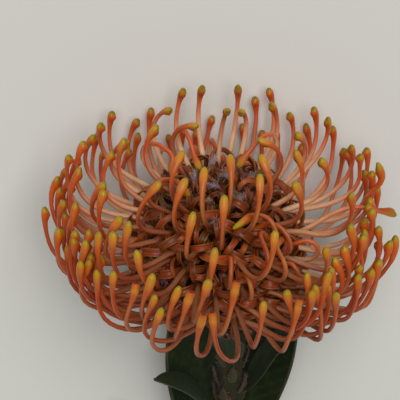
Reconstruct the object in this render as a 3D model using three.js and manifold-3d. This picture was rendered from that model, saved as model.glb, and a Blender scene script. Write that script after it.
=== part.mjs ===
// A pincushion protea: one cut flower head with its stem and leaves, laid down. Millimetres, +Z up.
// The head is worked out upright in its own frame, where z runs up the stem's axis and y points away
// from the side that ends up uppermost. layDown() then tips it over on to the floor at z = 0.
import * as THREE from 'three';
import { mergeVertices } from 'three/addons/utils/BufferGeometryUtils.js';
import Module from 'manifold-3d';

const wasm = await Module();
wasm.setup();

// The head
const FLORET_COUNT = 124;
const GOLDEN_ANGLE = 137.50776;
const RECEPTACLE_RADIUS = 7;
const RECEPTACLE_HALF_HEIGHT = 14;
const RECEPTACLE_MIDDLE = 17;
const BOWL_SHARE = 0.66; // the outer florets, whose styles make the bowl
const CROWN_SHARE = 0.91; // past this share of the florets the styles are still shut in
const STRAY_FLORET = 68; // the one style that arches outwards
const DOME_RADIUS = 22; // the ball that the ends of the perianths make
const DOME_MIDDLE = 21;
const HEAD_SWAY = 5.5; // the head sits a little to one side of the stem's line,
const STYLE_DRIFT = 0.03; // and its styles drift back towards that line
const UNDERSIDE_SHORTER = 0.1; // styles that lie along the floor are this share shorter

// One floret
const PERIANTH_STEPS = 6;
const STYLE_STEPS = 32;
const STYLE_RADIUS = 0.62;
const KNOB_RADIUS = 1.3;
const PERIANTH_FOOT_RADIUS = 0.85;
const PERIANTH_TOP_RADIUS = 2.1;
const FLORET_SIDES = 5;

// How the styles settle against each other and the floor
const SETTLE_ROUNDS = 40;
const STYLE_CLEARANCE = 1.5;
const PERIANTH_SPACING = 4.2;
const FLOOR_CLEARANCE = 1.3;
const FLOOR_SOFTNESS = 1.6;
const FLOOR_LAYERS = 4; // how far inner styles start out above the outer ones on the floor

// The stem and its bracts
const STEM_TOP = -5;
const STEM_LENGTH = 140;
const STEM_RADIUS = 3.5;
const STEM_BOW = 6; // how far the cut end strays sideways
const BRACT_THICKNESS = 0.7;
const GAP = 0.3;

// The leaves, from the head down: height of the foot, direction around the stem, length, width,
// and the spread away from the stem at the foot and at the tip.
const LEAF_THICKNESS = 0.7;
const LEAVES = [
  { foot: -22, around: 262, length: 22, width: 9, spread: [18, 52] },
  { foot: -36, around: 8, length: 30, width: 12, spread: [24, 50] },
  { foot: -46, around: 198, length: 28, width: 13, spread: [26, 80] },
  { foot: -56, around: 42, length: 60, width: 25, spread: [15, 31] },
  { foot: -70, around: 127, length: 64, width: 27, spread: [20, 27] },
  { foot: -86, around: 300, length: 50, width: 22, spread: [22, 62] },
  { foot: -96, around: 172, length: 56, width: 23, spread: [24, 58] },
  { foot: -106, around: 20, length: 58, width: 24, spread: [22, 56] },
  { foot: -114, around: 238, length: 50, width: 21, spread: [24, 66] },
];

// The lie of the whole flower
const RISE = 11; // degrees by which the axis climbs from the cut end to the head
const HEAD_AT = [5.3, 42.25, 30.9];

const degrees = Math.PI / 180;
const mix = (from, to, share) => from + (to - from) * share;
const clamp = (value, low, high) => Math.min(Math.max(value, low), high);

function ease(share) {
  const t = clamp(share, 0, 1);
  return t * t * (3 - 2 * t);
}

// A fixed scatter between -1 and 1, the same each time for the same floret and purpose.
function wobble(index, purpose) {
  const spread = Math.sin(index * 12.9898 + purpose * 78.233) * 43758.5453;
  return 2 * (spread - Math.floor(spread)) - 1;
}

// From the upright frame to the floor.
function layDown(point) {
  const c = Math.cos(RISE * degrees);
  const s = Math.sin(RISE * degrees);
  return new THREE.Vector3(
    point.x - HEAD_SWAY * ease(point.z / 18) + HEAD_AT[0],
    point.y * s + point.z * c + HEAD_AT[1],
    -point.y * c + point.z * s + HEAD_AT[2],
  );
}

// What would lie below the floor is pressed flat along it.
function pressOnFloor(point, clearance) {
  const depth = (point.z - clearance) / FLOOR_SOFTNESS;
  const lifted = depth > 20 ? depth : Math.log(1 + Math.exp(depth));
  return new THREE.Vector3(point.x, point.y, clearance + FLOOR_SOFTNESS * lifted);
}

// A closed skin over a run of rings that each hold the same number of points. The rings turn
// anticlockwise seen from the end that the run leads to.
function loft(rings, closedRun = false) {
  const sides = rings[0].length;
  const positions = [];
  const triangles = [];
  for (const ring of rings) {
    for (const point of ring) positions.push(point.x, point.y, point.z);
  }
  const spans = closedRun ? rings.length : rings.length - 1;
  for (let i = 0; i < spans; i++) {
    const here = i * sides;
    const next = ((i + 1) % rings.length) * sides;
    for (let j = 0; j < sides; j++) {
      const k = (j + 1) % sides;
      triangles.push(here + j, here + k, next + k);
      triangles.push(here + j, next + k, next + j);
    }
  }
  if (!closedRun) {
    const last = (rings.length - 1) * sides;
    for (let j = 1; j < sides - 1; j++) {
      triangles.push(0, j + 1, j);
      triangles.push(last, last + j, last + j + 1);
    }
  }
  const geometry = new THREE.BufferGeometry();
  geometry.setAttribute('position', new THREE.Float32BufferAttribute(positions, 3));
  geometry.setIndex(triangles);
  return geometry;
}

// Rings of the given radii around a path, kept from twisting.
function ringsAlong(path, radii, sides, firstSide) {
  let side = firstSide.clone();
  return path.map((point, i) => {
    const before = path[Math.max(i - 1, 0)];
    const after = path[Math.min(i + 1, path.length - 1)];
    const along = after.clone().sub(before).normalize();
    side = side.clone().addScaledVector(along, -side.dot(along)).normalize();
    const across = along.clone().cross(side);
    return Array.from({ length: sides }, (_, j) => {
      const turn = (j / sides) * 2 * Math.PI;
      return point
        .clone()
        .addScaledVector(side, radii[i] * Math.cos(turn))
        .addScaledVector(across, radii[i] * Math.sin(turn));
    });
  });
}

function solidOf(geometry) {
  const plain = mergeVertices(geometry, 1e-4);
  return new wasm.Manifold(
    new wasm.Mesh({
      numProp: 3,
      vertProperties: new Float32Array(plain.attributes.position.array),
      triVerts: new Uint32Array(plain.index.array),
    }),
  );
}

function geometryOf(solid) {
  const mesh = solid.getMesh();
  const geometry = new THREE.BufferGeometry();
  geometry.setAttribute('position', new THREE.BufferAttribute(mesh.vertProperties, 3));
  geometry.setIndex(new THREE.BufferAttribute(mesh.triVerts, 1));
  return geometry;
}

// ---- The florets' courses -------------------------------------------------------------------

function habitOf(index) {
  const rank = (index + 0.5) / FLORET_COUNT;
  if (index === STRAY_FLORET) return 'stray';
  if (rank > CROWN_SHARE) return 'crown';
  if (rank > 0.28 && wobble(index, 9) > 0.62) return 'loop';
  return rank > BOWL_SHARE ? 'inner' : 'bowl';
}

// A style's length past its perianth, its climb above level at the start and at the end, and
// the stretch of it that bends.
function stylePlan(index) {
  const rank = (index + 0.5) / FLORET_COUNT;
  const habit = habitOf(index);
  if (habit === 'bowl') {
    const share = rank / BOWL_SHARE;
    const under = Math.max(Math.sin(index * GOLDEN_ANGLE * degrees), 0);
    return {
      length: mix(47, 32, share) * (1 + 0.04 * wobble(index, 2)) * (1 - UNDERSIDE_SHORTER * under),
      start: mix(-17, 9, Math.pow(share, 1.7)) + 3 * wobble(index, 3),
      end: mix(98, 112, share) + 12 * wobble(index, 4),
      bendFrom: mix(0, 0.1, share),
      bendTo: 0.99,
    };
  }
  if (habit === 'inner') {
    const share = (rank - BOWL_SHARE) / (CROWN_SHARE - BOWL_SHARE);
    return {
      length: mix(28, 19, share) * (1 + 0.06 * wobble(index, 2)),
      start: mix(20, 58, share) + 5 * wobble(index, 3),
      end: mix(118, 146, share) + 22 * wobble(index, 4),
      bendFrom: 0.05,
      bendTo: 1,
    };
  }
  if (habit === 'loop') {
    return {
      length: 27 + 3 * wobble(index, 2),
      start: mix(-18, 44, rank) + 5 * wobble(index, 3),
      end: 235 + 12 * wobble(index, 4),
      bendFrom: 0,
      bendTo: 0.88,
    };
  }
  if (habit === 'stray') return { length: 30, start: 30, end: -30, bendFrom: 0.2, bendTo: 1 };
  return { length: 1.5, start: 80, end: 90, bendFrom: 0, bendTo: 1 };
}

// The centre line of one floret: straight out through its perianth, from its seat on the
// receptacle to the dome, then along its style.
function courseOf(index) {
  const rank = (index + 0.5) / FLORET_COUNT;
  const habit = habitOf(index);
  const plan = stylePlan(index);
  const polar = Math.acos(mix(-0.66, 0.97, Math.pow(rank, 1.1)));
  const around = index * GOLDEN_ANGLE * degrees;
  const onEgg = (radius, halfHeight, middle) =>
    new THREE.Vector3(
      radius * Math.sin(polar) * Math.cos(around),
      radius * Math.sin(polar) * Math.sin(around),
      middle + halfHeight * Math.cos(polar),
    );
  const seat = onEgg(RECEPTACLE_RADIUS, RECEPTACLE_HALF_HEIGHT, RECEPTACLE_MIDDLE);
  const mouth = onEgg(DOME_RADIUS, DOME_RADIUS, DOME_MIDDLE);
  const perianth = Array.from({ length: PERIANTH_STEPS + 1 }, (_, k) =>
    seat.clone().lerp(mouth, k / PERIANTH_STEPS),
  );
  const heading = habit === 'stray' ? -6 * degrees : around + 0.1 * wobble(index, 1);
  const outwards = new THREE.Vector3(Math.cos(heading), Math.sin(heading), 0);
  const sideways = new THREE.Vector3(-Math.sin(heading), Math.cos(heading), 0);
  const upwards = new THREE.Vector3(0, 0, 1);
  const step = plan.length / STYLE_STEPS;
  const style = [mouth.clone()];
  for (let k = 0; k < STYLE_STEPS; k++) {
    const share = (k + 0.5) / STYLE_STEPS;
    const bend = ease((share - plan.bendFrom) / (plan.bendTo - plan.bendFrom));
    const climb = mix(plan.start, plan.end, bend) * degrees;
    const lean = 14 * wobble(index, 5) * degrees * ease(share / 0.6);
    const direction = new THREE.Vector3()
      .addScaledVector(outwards, Math.cos(lean) * Math.cos(climb))
      .addScaledVector(upwards, Math.cos(lean) * Math.sin(climb))
      .addScaledVector(sideways, Math.sin(lean));
    direction.x += STYLE_DRIFT * ease((share - 0.1) / 0.6);
    direction.normalize();
    style.push(style[k].clone().addScaledVector(direction, step));
  }
  return {
    index,
    habit,
    length: plan.length,
    step,
    perianth: perianth.map(layDown),
    style: style.map(layDown),
  };
}

// Styles that would run through each other, through a perianth or into the floor push clear.
function settle(courses) {
  const freedom = courses.map((course) => course.style.map((_, k) => ease((k * course.step) / 6)));
  const bulk = courses.map((course) =>
    course.style.map((_, k) => ((STYLE_STEPS - k) * course.step < 4.5 ? KNOB_RADIUS : STYLE_RADIUS)),
  );
  for (const course of courses) {
    const layer = (FLOOR_LAYERS * course.index) / FLORET_COUNT;
    course.style = course.style.map((point) => pressOnFloor(point, FLOOR_CLEARANCE + layer));
  }
  for (let round = 0; round < SETTLE_ROUNDS; round++) {
    const boxes = courses.map((course) => new THREE.Box3().setFromPoints(course.style).expandByScalar(3));
    const pushes = courses.map((course) => course.style.map(() => new THREE.Vector3()));
    const counts = courses.map((course) => course.style.map(() => 0));
    courses.forEach((course, a) => {
      courses.forEach((other, b) => {
        if (a === b) return;
        if (boxes[a].intersectsBox(boxes[b])) {
          const spacing = (k, l) => bulk[a][k] + bulk[b][l] + STYLE_CLEARANCE;
          pushFrom(course.style, other.style, spacing, pushes[a], counts[a]);
        }
        pushFrom(course.style, other.perianth, () => PERIANTH_SPACING, pushes[a], counts[a]);
      });
    });
    courses.forEach((course, a) => {
      const moves = pushes[a].map((push, k) => push.divideScalar(Math.max(counts[a][k], 1)));
      for (let pass = 0; pass < 3; pass++) smoothRun(moves);
      course.style.forEach((point, k) => {
        point.addScaledVector(moves[k], 0.8 * freedom[a][k]);
        point.z = Math.max(point.z, FLOOR_CLEARANCE);
      });
    });
  }
}

// Adds to each point of a run the push that it gets from the points of another run near it.
function pushFrom(run, others, spacing, pushes, counts) {
  run.forEach((point, k) => {
    others.forEach((other, l) => {
      const apart = point.distanceTo(other);
      const short = spacing(k, l) - apart;
      if (short <= 0 || apart < 1e-6) return;
      pushes[k].addScaledVector(point.clone().sub(other), short / apart);
      counts[k] += 1;
    });
  });
}

function smoothRun(vectors) {
  const before = vectors.map((v) => v.clone());
  vectors.forEach((vector, k) => {
    const previous = before[Math.max(k - 1, 0)];
    const next = before[Math.min(k + 1, before.length - 1)];
    vector.multiplyScalar(0.5).addScaledVector(previous, 0.25).addScaledVector(next, 0.25);
  });
}

// ---- The florets' bodies --------------------------------------------------------------------

function pointAt(course, distance) {
  const place = clamp(distance / course.step, 0, STYLE_STEPS);
  const below = Math.min(Math.floor(place), STYLE_STEPS - 1);
  return course.style[below].clone().lerp(course.style[below + 1], place - below);
}

// The perianth is a club that widens outwards; the style leaves its top and ends in a knob.
function floretBody(course) {
  const [seat, mouth] = [course.perianth[0], course.perianth[PERIANTH_STEPS]];
  const path = [seat.clone().lerp(mouth, 0.05), seat.clone().lerp(mouth, 0.8)];
  const radii = [PERIANTH_FOOT_RADIUS, PERIANTH_TOP_RADIUS];
  const station = (distance, radius) => {
    path.push(pointAt(course, distance));
    radii.push(radius);
  };
  if (course.habit === 'crown') {
    station(0, PERIANTH_TOP_RADIUS * 0.9);
    station(course.length, 0.7);
  } else {
    const knobFrom = course.length - 5.2;
    const bends = course.habit === 'loop' ? 7 : 5;
    for (let i = 0; i <= bends; i++) station((knobFrom * i) / bends, STYLE_RADIUS);
    station(course.length - 3.2, KNOB_RADIUS);
    station(course.length - 1.2, KNOB_RADIUS);
    station(course.length, 0.45);
  }
  const heading = (course.index * GOLDEN_ANGLE + 90) * degrees;
  const side = layDown(new THREE.Vector3(Math.cos(heading), Math.sin(heading), 0));
  side.sub(layDown(new THREE.Vector3()));
  return loft(ringsAlong(path, radii, FLORET_SIDES, side));
}

// A short bridge where two neighbouring perianths press together.
function bridge(courseA, courseB) {
  const from = courseA.perianth[0].clone().lerp(courseA.perianth[PERIANTH_STEPS], 0.72);
  const to = courseB.perianth[0].clone().lerp(courseB.perianth[PERIANTH_STEPS], 0.72);
  const side = new THREE.Vector3(0.3, 0.5, 0.8);
  return loft(ringsAlong([from, to], [0.6, 0.6], 3, side));
}

// Neighbours on the receptacle are 8 and 13 florets apart, so {n, n + 8, n + 13} for every third
// n makes clusters of neighbours and uses each floret once.
function clusterMembers() {
  const clusters = [];
  for (let first = -12; first < FLORET_COUNT; first += 3) {
    const members = [first, first + 8, first + 13].filter((n) => n >= 0 && n < FLORET_COUNT);
    clusters.push(members);
  }
  return clusters;
}

// ---- Assembly ---------------------------------------------------------------------------------

const materials = {
  floret: new THREE.MeshStandardMaterial({ color: 0xc4622c, roughness: 0.55 }),
  receptacle: new THREE.MeshStandardMaterial({ color: 0x7a5a3c, roughness: 0.9 }),
  bract: new THREE.MeshStandardMaterial({ color: 0x5b5a34, roughness: 0.8 }),
  leaf: new THREE.MeshStandardMaterial({ color: 0x24381a, roughness: 0.6 }),
  stem: new THREE.MeshStandardMaterial({ color: 0x55602f, roughness: 0.75 }),
};

const flower = new THREE.Group();

function add(name, geometry, material) {
  const mesh = new THREE.Mesh(geometry, material);
  mesh.name = name;
  flower.add(mesh);
  return mesh;
}

const courses = Array.from({ length: FLORET_COUNT }, (_, index) => courseOf(index));
settle(courses);

clusterMembers().forEach((members, i) => {
  let solid = solidOf(floretBody(courses[members[0]]));
  members.slice(1).forEach((member) => {
    solid = solid.add(solidOf(floretBody(courses[member])));
    solid = solid.add(solidOf(bridge(courses[members[0]], courses[member])));
  });
  add('florets_' + String(i + 1).padStart(2, '0'), geometryOf(solid), materials.floret);
});

// The receptacle is an egg on a short neck. All the florets stand on it.
const receptacleProfile = [[STEM_TOP + GAP, 3.4], [-1, 3], [2.4, 3]];
for (let i = 1; i < 9; i++) {
  const tilt = Math.PI * mix(0.12, 1, i / 9);
  receptacleProfile.push([
    RECEPTACLE_MIDDLE - RECEPTACLE_HALF_HEIGHT * Math.cos(tilt),
    (RECEPTACLE_RADIUS - 0.5) * Math.sin(tilt),
  ]);
}
const receptacleRings = receptacleProfile.map(([height, radius]) => {
  const at = (turn) => new THREE.Vector3(radius * Math.cos(turn), radius * Math.sin(turn), height);
  return Array.from({ length: 10 }, (_, j) => layDown(at((j / 10) * 2 * Math.PI)));
});
add('receptacle', loft(receptacleRings), materials.receptacle);

// Each whorl of bracts is a lobed cup around the top of the stem.
function bractCup(lobes, foot, footRadius, rim, rimRadius) {
  const turns = lobes * 4;
  const rings = Array.from({ length: turns }, (_, i) => {
    const turn = (i / turns) * 2 * Math.PI;
    const reach = mix(0.5, 1, Math.abs(Math.cos((turn * lobes) / 2)));
    const at = (radius, height) =>
      layDown(new THREE.Vector3(radius * Math.cos(turn), radius * Math.sin(turn), height));
    const topRadius = mix(footRadius, rimRadius, reach);
    const topHeight = mix(foot, rim, reach);
    return [
      at(topRadius, topHeight + 0.3),
      at(topRadius + BRACT_THICKNESS, topHeight),
      at(footRadius + BRACT_THICKNESS, foot),
      at(footRadius, foot),
    ];
  });
  return loft(rings, true);
}
add('bracts_upper', bractCup(9, -2, 3.9, 4.2, 8.2), materials.bract);
add('bracts_lower', bractCup(7, -8.5, 4.1, -1.5, 7.4), materials.bract);

// The stem runs from under the receptacle to the cut end.
function stemAxis(height) {
  const share = (STEM_TOP - height) / STEM_LENGTH;
  return new THREE.Vector3(STEM_BOW * share * share, 0, height);
}
const stemHeights = Array.from({ length: 13 }, (_, i) => STEM_TOP - (STEM_LENGTH * i) / 12);
const stemPath = stemHeights.map((height) => layDown(stemAxis(height)));
const stemRadii = stemPath.map((_, i) => STEM_RADIUS * (i === 0 ? 0.95 : 1) * mix(1, 0.93, i / 12));
add('stem', loft(ringsAlong(stemPath, stemRadii, 12, new THREE.Vector3(1, 0, 0))), materials.stem);

// A leaf is a thin cupped blade, widest past its middle, that leaves the stem on its inner face.
function leafBody({ foot, around, length, width, spread }) {
  const stations = 9;
  const outwards = new THREE.Vector3(Math.cos(around * degrees), Math.sin(around * degrees), 0);
  const sideways = new THREE.Vector3(-outwards.y, outwards.x, 0);
  const upwards = new THREE.Vector3(0, 0, 1);
  const middle = stemAxis(foot).addScaledVector(outwards, STEM_RADIUS + 2 * GAP + LEAF_THICKNESS);
  const rings = [];
  for (let i = 0; i < stations; i++) {
    const share = i / (stations - 1);
    const angle = mix(spread[0], spread[1], share * share) * degrees;
    const along = new THREE.Vector3()
      .addScaledVector(upwards, Math.cos(angle))
      .addScaledVector(outwards, Math.sin(angle));
    const inner = new THREE.Vector3()
      .addScaledVector(upwards, Math.sin(angle))
      .addScaledVector(outwards, -Math.cos(angle));
    if (i > 0) middle.addScaledVector(along, length / (stations - 1));
    const half = 0.5 * leafWidth(share, width);
    const at = (across, side) => {
      const cup = 0.16 * half * across * across;
      const thick = side * 0.5 * LEAF_THICKNESS * (Math.abs(across) === 1 ? 0 : 1);
      const point = middle.clone().addScaledVector(sideways, across * half);
      point.addScaledVector(inner, cup + thick);
      return pressOnFloor(layDown(point), 0.5);
    };
    const innerFace = [at(1, 0), at(0.5, 1), at(0, 1), at(-0.5, 1)];
    const outerFace = [at(-1, 0), at(-0.5, -1), at(0, -1), at(0.5, -1)];
    rings.push([...innerFace, ...outerFace]);
  }
  return loft(rings);
}

function leafWidth(share, width) {
  const blade = Math.pow(Math.sin(Math.PI * Math.min(0.1 + 0.9 * share, 0.999)), 0.8);
  return Math.max(width * blade, 1);
}

LEAVES.forEach((leaf, i) => add('leaf_' + (i + 1), leafBody(leaf), materials.leaf));

export default flower;
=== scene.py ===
"""A pincushion protea flower, cut with its stem and leaves and laid down on a pale floor."""

import math

import bpy
import numpy as np
from mathutils import Matrix, Vector


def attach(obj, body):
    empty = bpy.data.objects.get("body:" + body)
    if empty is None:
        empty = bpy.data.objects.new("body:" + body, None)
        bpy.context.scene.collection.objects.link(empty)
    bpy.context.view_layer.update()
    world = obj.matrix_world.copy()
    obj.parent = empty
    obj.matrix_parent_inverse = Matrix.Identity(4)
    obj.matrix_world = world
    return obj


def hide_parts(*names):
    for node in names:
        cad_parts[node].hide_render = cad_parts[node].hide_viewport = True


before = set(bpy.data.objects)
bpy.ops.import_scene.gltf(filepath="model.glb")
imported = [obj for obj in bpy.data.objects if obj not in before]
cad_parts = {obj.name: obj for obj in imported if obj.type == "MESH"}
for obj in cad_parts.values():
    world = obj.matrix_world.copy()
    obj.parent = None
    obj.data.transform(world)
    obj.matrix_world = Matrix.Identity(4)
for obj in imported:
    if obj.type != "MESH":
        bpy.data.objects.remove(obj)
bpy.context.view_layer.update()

# ---- The lie of the florets -------------------------------------------------------------------
# A floret stands on the woody core in the order of the golden angle, from the lowest outwards
# ring to the crown. It is a straight perianth and a long style that arches out and up. Numbers
# with a half or a quarter are more styles that crowd the sides and the foot of the bowl. The head
# is worked out upright in millimetres and then tipped over on to the floor.

FLORETS = 124
GOLDEN_ANGLE = math.radians(137.50776)
DOME_RADIUS = 22.0
DOME_MIDDLE = 21.0
CORE_RADIUS = 7.0
CORE_HALF_HEIGHT = 14.0
CORE_MIDDLE = 17.0
STYLE_STEPS = 32
RISE = math.radians(11)
HEAD_AT = np.array([5.3, 42.25, 30.9])
HEAD_SWAY = 5.5
SWAY_HEIGHT = 18.0
FLOOR_CLEARANCE = 1.3
PRESS_SOFTNESS = 1.6
BOWL_ENDS = 0.66  # ranks run from 0, the lowest floret, to 1, the top of the crown
CROWN_BEGINS = 0.91
STRAY_FLORET = 68
SWEPT_ASIDE = math.radians(42)


def mix(start, end, share):
    """The value that lies a share of the way from start to end."""
    return start + (end - start) * share


def ease(share):
    """Three squares less two cubes of the share, held between 0 and 1."""
    t = np.clip(share, 0.0, 1.0)
    return t * t * (3.0 - 2.0 * t)


def wobble(index, purpose):
    """A fixed scatter from -1 to 1: the fraction of a much enlarged sine, doubled, less one."""
    spread = np.sin(index * 12.9898 + purpose * 78.233) * 43758.5453
    return 2.0 * (spread - np.floor(spread)) - 1.0


def lay_down(points):
    """Upright points swayed sideways with height, turned about X by the rise and set in place."""
    p = np.asarray(points, dtype=float)
    c, s = math.cos(RISE), math.sin(RISE)
    x = p[..., 0] - HEAD_SWAY * ease(p[..., 2] / SWAY_HEIGHT)
    y = p[..., 1] * s + p[..., 2] * c
    z = -p[..., 1] * c + p[..., 2] * s
    return np.stack([x, y, z], axis=-1) + HEAD_AT


def turn_down(direction):
    """The same turn about X for a direction, with no sway and no shift."""
    d = np.asarray(direction, dtype=float)
    c, s = math.cos(RISE), math.sin(RISE)
    return np.stack([d[..., 0], d[..., 1] * s + d[..., 2] * c, -d[..., 1] * c + d[..., 2] * s], axis=-1)


def press_on_floor(points, clearance):
    """Heights pass through the logarithm of one plus an exponential, so none sinks below clearance."""
    pressed = np.array(points, dtype=float)
    above = (pressed[..., 2] - clearance) / PRESS_SOFTNESS
    pressed[..., 2] = clearance + PRESS_SOFTNESS * np.logaddexp(0, above)
    return pressed


def unit(vectors):
    """Vectors divided by their lengths."""
    return vectors / np.maximum(np.linalg.norm(vectors, axis=-1, keepdims=True), 1e-9)


half_way = np.arange(0, 84) + 0.5
on_a_side = np.abs(np.sin(half_way * GOLDEN_ANGLE) + 0.24) < 0.58
quarter_way = np.arange(0, 38, 0.5) + 0.25
in_front = np.sin(quarter_way * GOLDEN_ANGLE) < -0.5
index = np.concatenate([np.arange(FLORETS), half_way[on_a_side & (wobble(half_way, 9) < 0.2)],
                        quarter_way[in_front & (wobble(quarter_way, 9) < 0.75)]])
STYLES = len(index)
rank = (index + 0.5) / FLORETS
stray = index == STRAY_FLORET
crown = (rank > CROWN_BEGINS) & ~stray
loop = (rank > 0.28) & (wobble(index, 9) > 0.62) & ~stray & ~crown
inner = (rank > BOWL_ENDS) & ~stray & ~crown & ~loop
bowl = ~(stray | crown | loop | inner)
habits = [bowl, inner, loop, stray]
bowl_share = np.clip(rank / BOWL_ENDS, 0, 1)
inner_share = np.clip((rank - BOWL_ENDS) / (CROWN_BEGINS - BOWL_ENDS), 0, 1)
around = index * GOLDEN_ANGLE
shorter_under = 1 - 0.1 * np.maximum(np.sin(around), 0)

# For each habit, and last for the crown: how long a style is, how steeply it sets off and ends,
# and over what part of its length it bends.
style_length = np.select(habits, [
    mix(47, 32, bowl_share) * (1 + 0.04 * wobble(index, 2)) * shorter_under,
    mix(28, 19, inner_share) * (1 + 0.06 * wobble(index, 2)),
    27 + 3 * wobble(index, 2),
    np.full(STYLES, 30.0)], 1.5)
climb_start = np.select(habits, [
    mix(-17, 9, bowl_share ** 1.7) + 3 * wobble(index, 3),
    mix(20, 58, inner_share) + 5 * wobble(index, 3),
    mix(-18, 44, rank) + 5 * wobble(index, 3),
    np.full(STYLES, 30.0)], 80)
climb_end = np.select(habits, [
    mix(98, 112, bowl_share) + 12 * wobble(index, 4),
    mix(118, 146, inner_share) + 22 * wobble(index, 4),
    235 + 12 * wobble(index, 4),
    np.full(STYLES, -30.0)], 90)
bend_from = np.select(habits, [mix(0, 0.1, bowl_share), 0.05, 0, 0.2], 0)
bend_to = np.select(habits, [0.99, 1, 0.88, 1], 1)

polar = np.arccos(mix(-0.66, 0.97, rank ** 1.1))
off_the_core = np.stack([np.sin(polar) * np.cos(around), np.sin(polar) * np.sin(around), np.cos(polar)],
                        axis=-1)
seat = off_the_core * [CORE_RADIUS, CORE_RADIUS, CORE_HALF_HEIGHT] + [0, 0, CORE_MIDDLE]
mouth = off_the_core * DOME_RADIUS + [0, 0, DOME_MIDDLE]
swept = np.where(index * 4 % 2 == 1, SWEPT_ASIDE * np.sign(np.cos(around)), 0)
heading = np.where(stray, math.radians(-6), around + 0.1 * wobble(index, 1) + swept)
outwards = np.stack([np.cos(heading), np.sin(heading), np.zeros(STYLES)], axis=-1)
sideways = np.stack([-np.sin(heading), np.cos(heading), np.zeros(STYLES)], axis=-1)

share = (np.arange(STYLE_STEPS) + 0.5) / STYLE_STEPS
bend = ease((share - bend_from[:, None]) / (bend_to - bend_from)[:, None])
climb = np.radians(mix(climb_start[:, None], climb_end[:, None], bend))
lean = np.radians(14 * wobble(index, 5))[:, None] * ease(share / 0.6)
heading_step = (outwards[:, None] * (np.cos(lean) * np.cos(climb))[..., None]
                + np.array([0, 0, 1.0]) * (np.cos(lean) * np.sin(climb))[..., None]
                + sideways[:, None] * np.sin(lean)[..., None])
heading_step[..., 0] += 0.03 * ease((share - 0.1) / 0.6)
step = style_length / STYLE_STEPS
travel = np.cumsum(unit(heading_step) * step[:, None, None], axis=1)
style_path = lay_down(np.concatenate([mouth[:, None], mouth[:, None] + travel], axis=1))
perianth_path = lay_down(mix(seat[:, None], mouth[:, None], (np.arange(7) / 6)[:, None]))
seat_laid, mouth_laid = perianth_path[:, 0], perianth_path[:, 6]
outwards_laid = turn_down(outwards)
axis_laid = turn_down(np.array([0, 0, 1.0]))

# Styles that would pass through each other, through a perianth or into the floor push clear.
# Those that meet the floor lie in layers, the first of the spiral lowest.
FLOOR_LAYERS = 4.0
SETTLE_ROUNDS = 40
PAIRING_ROUNDS = (0, 1, 2, 4, 7, 11, 16, 22, 30)
PAIRING_REACH = 6.5
PERIANTH_SPACING = 4.2
STIFF_FOOT = 6.0
KNOB_LENGTH = 4.5
KNOB_BULK = 1.3
SHAFT_BULK = 0.62

layer = FLOOR_LAYERS * index / FLORETS
style_path = press_on_floor(style_path, (FLOOR_CLEARANCE + layer)[:, None])
freedom = ease(np.arange(STYLE_STEPS + 1) * step[:, None] / STIFF_FOOT)
to_the_tip = (STYLE_STEPS - np.arange(STYLE_STEPS + 1)) * step[:, None]
bulk = np.where(to_the_tip < KNOB_LENGTH, KNOB_BULK, SHAFT_BULK)


def near_pairs(points, others, owners, other_owners):
    """Pairs of a point and another floret's point that are within the pairing reach."""
    found = []
    for low in range(0, len(points), 512):
        block = points[low:low + 512]
        apart = ((block ** 2).sum(1)[:, None] + (others ** 2).sum(1)[None] - 2 * block @ others.T)
        here, there = np.nonzero(apart < PAIRING_REACH * PAIRING_REACH)
        keep = owners[low + here] != other_owners[there]
        found.append(np.stack([low + here[keep], there[keep]]))
    return np.concatenate(found, axis=1)


def push(points, others, pairs, spacing):
    """Sum of the steps away from every neighbour that is nearer than its spacing, and their number."""
    away = points[pairs[0]] - others[pairs[1]]
    apart = np.linalg.norm(away, axis=1)
    short = spacing - apart
    hit = (short > 0) & (apart > 1e-6)
    away = away[hit] * (short[hit] / apart[hit])[:, None]
    who = pairs[0][hit]
    total = np.stack([np.bincount(who, away[:, i], len(points)) for i in range(3)], axis=-1)
    return total, np.bincount(who, minlength=len(points))


def settle(moving, fixed, clear_by):
    """Moves some styles clear of each other, of the fixed styles and of the perianths: each step is
    the mean of the pushes at a point, smoothed along the style and held back near its foot."""
    perianths = perianth_path[:FLORETS].reshape(-1, 3)
    others = np.concatenate([moving, fixed])
    owners = np.repeat(moving, STYLE_STEPS + 1)
    other_owners = np.repeat(others, STYLE_STEPS + 1)
    perianth_owners = np.repeat(np.arange(FLORETS), perianth_path.shape[1])
    for settle_round in range(SETTLE_ROUNDS):
        points = style_path[moving].reshape(-1, 3)
        all_points = style_path[others].reshape(-1, 3)
        if settle_round in PAIRING_ROUNDS:
            style_pairs = near_pairs(points, all_points, owners, other_owners)
            spacing = bulk[moving].ravel()[style_pairs[0]] + bulk[others].ravel()[style_pairs[1]] + clear_by
            perianth_pairs = near_pairs(points, perianths, owners, perianth_owners)
        total, count = push(points, all_points, style_pairs, spacing)
        more, more_count = push(points, perianths, perianth_pairs, PERIANTH_SPACING)
        moves = (total + more) / np.maximum(count + more_count, 1)[:, None]
        moves = moves.reshape(len(moving), -1, 3)
        for smoothing in range(3):
            before = np.concatenate([moves[:, :1], moves[:, :-1]], axis=1)
            after = np.concatenate([moves[:, 1:], moves[:, -1:]], axis=1)
            moves = 0.5 * moves + 0.25 * before + 0.25 * after
        style_path[moving] += 0.8 * moves * freedom[moving][..., None]
        style_path[moving, :, 2] = np.maximum(style_path[moving, :, 2], FLOOR_CLEARANCE)


settle(np.arange(FLORETS), np.arange(0), 1.5)
settle(np.arange(FLORETS, STYLES), np.arange(FLORETS), 0.6)

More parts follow.
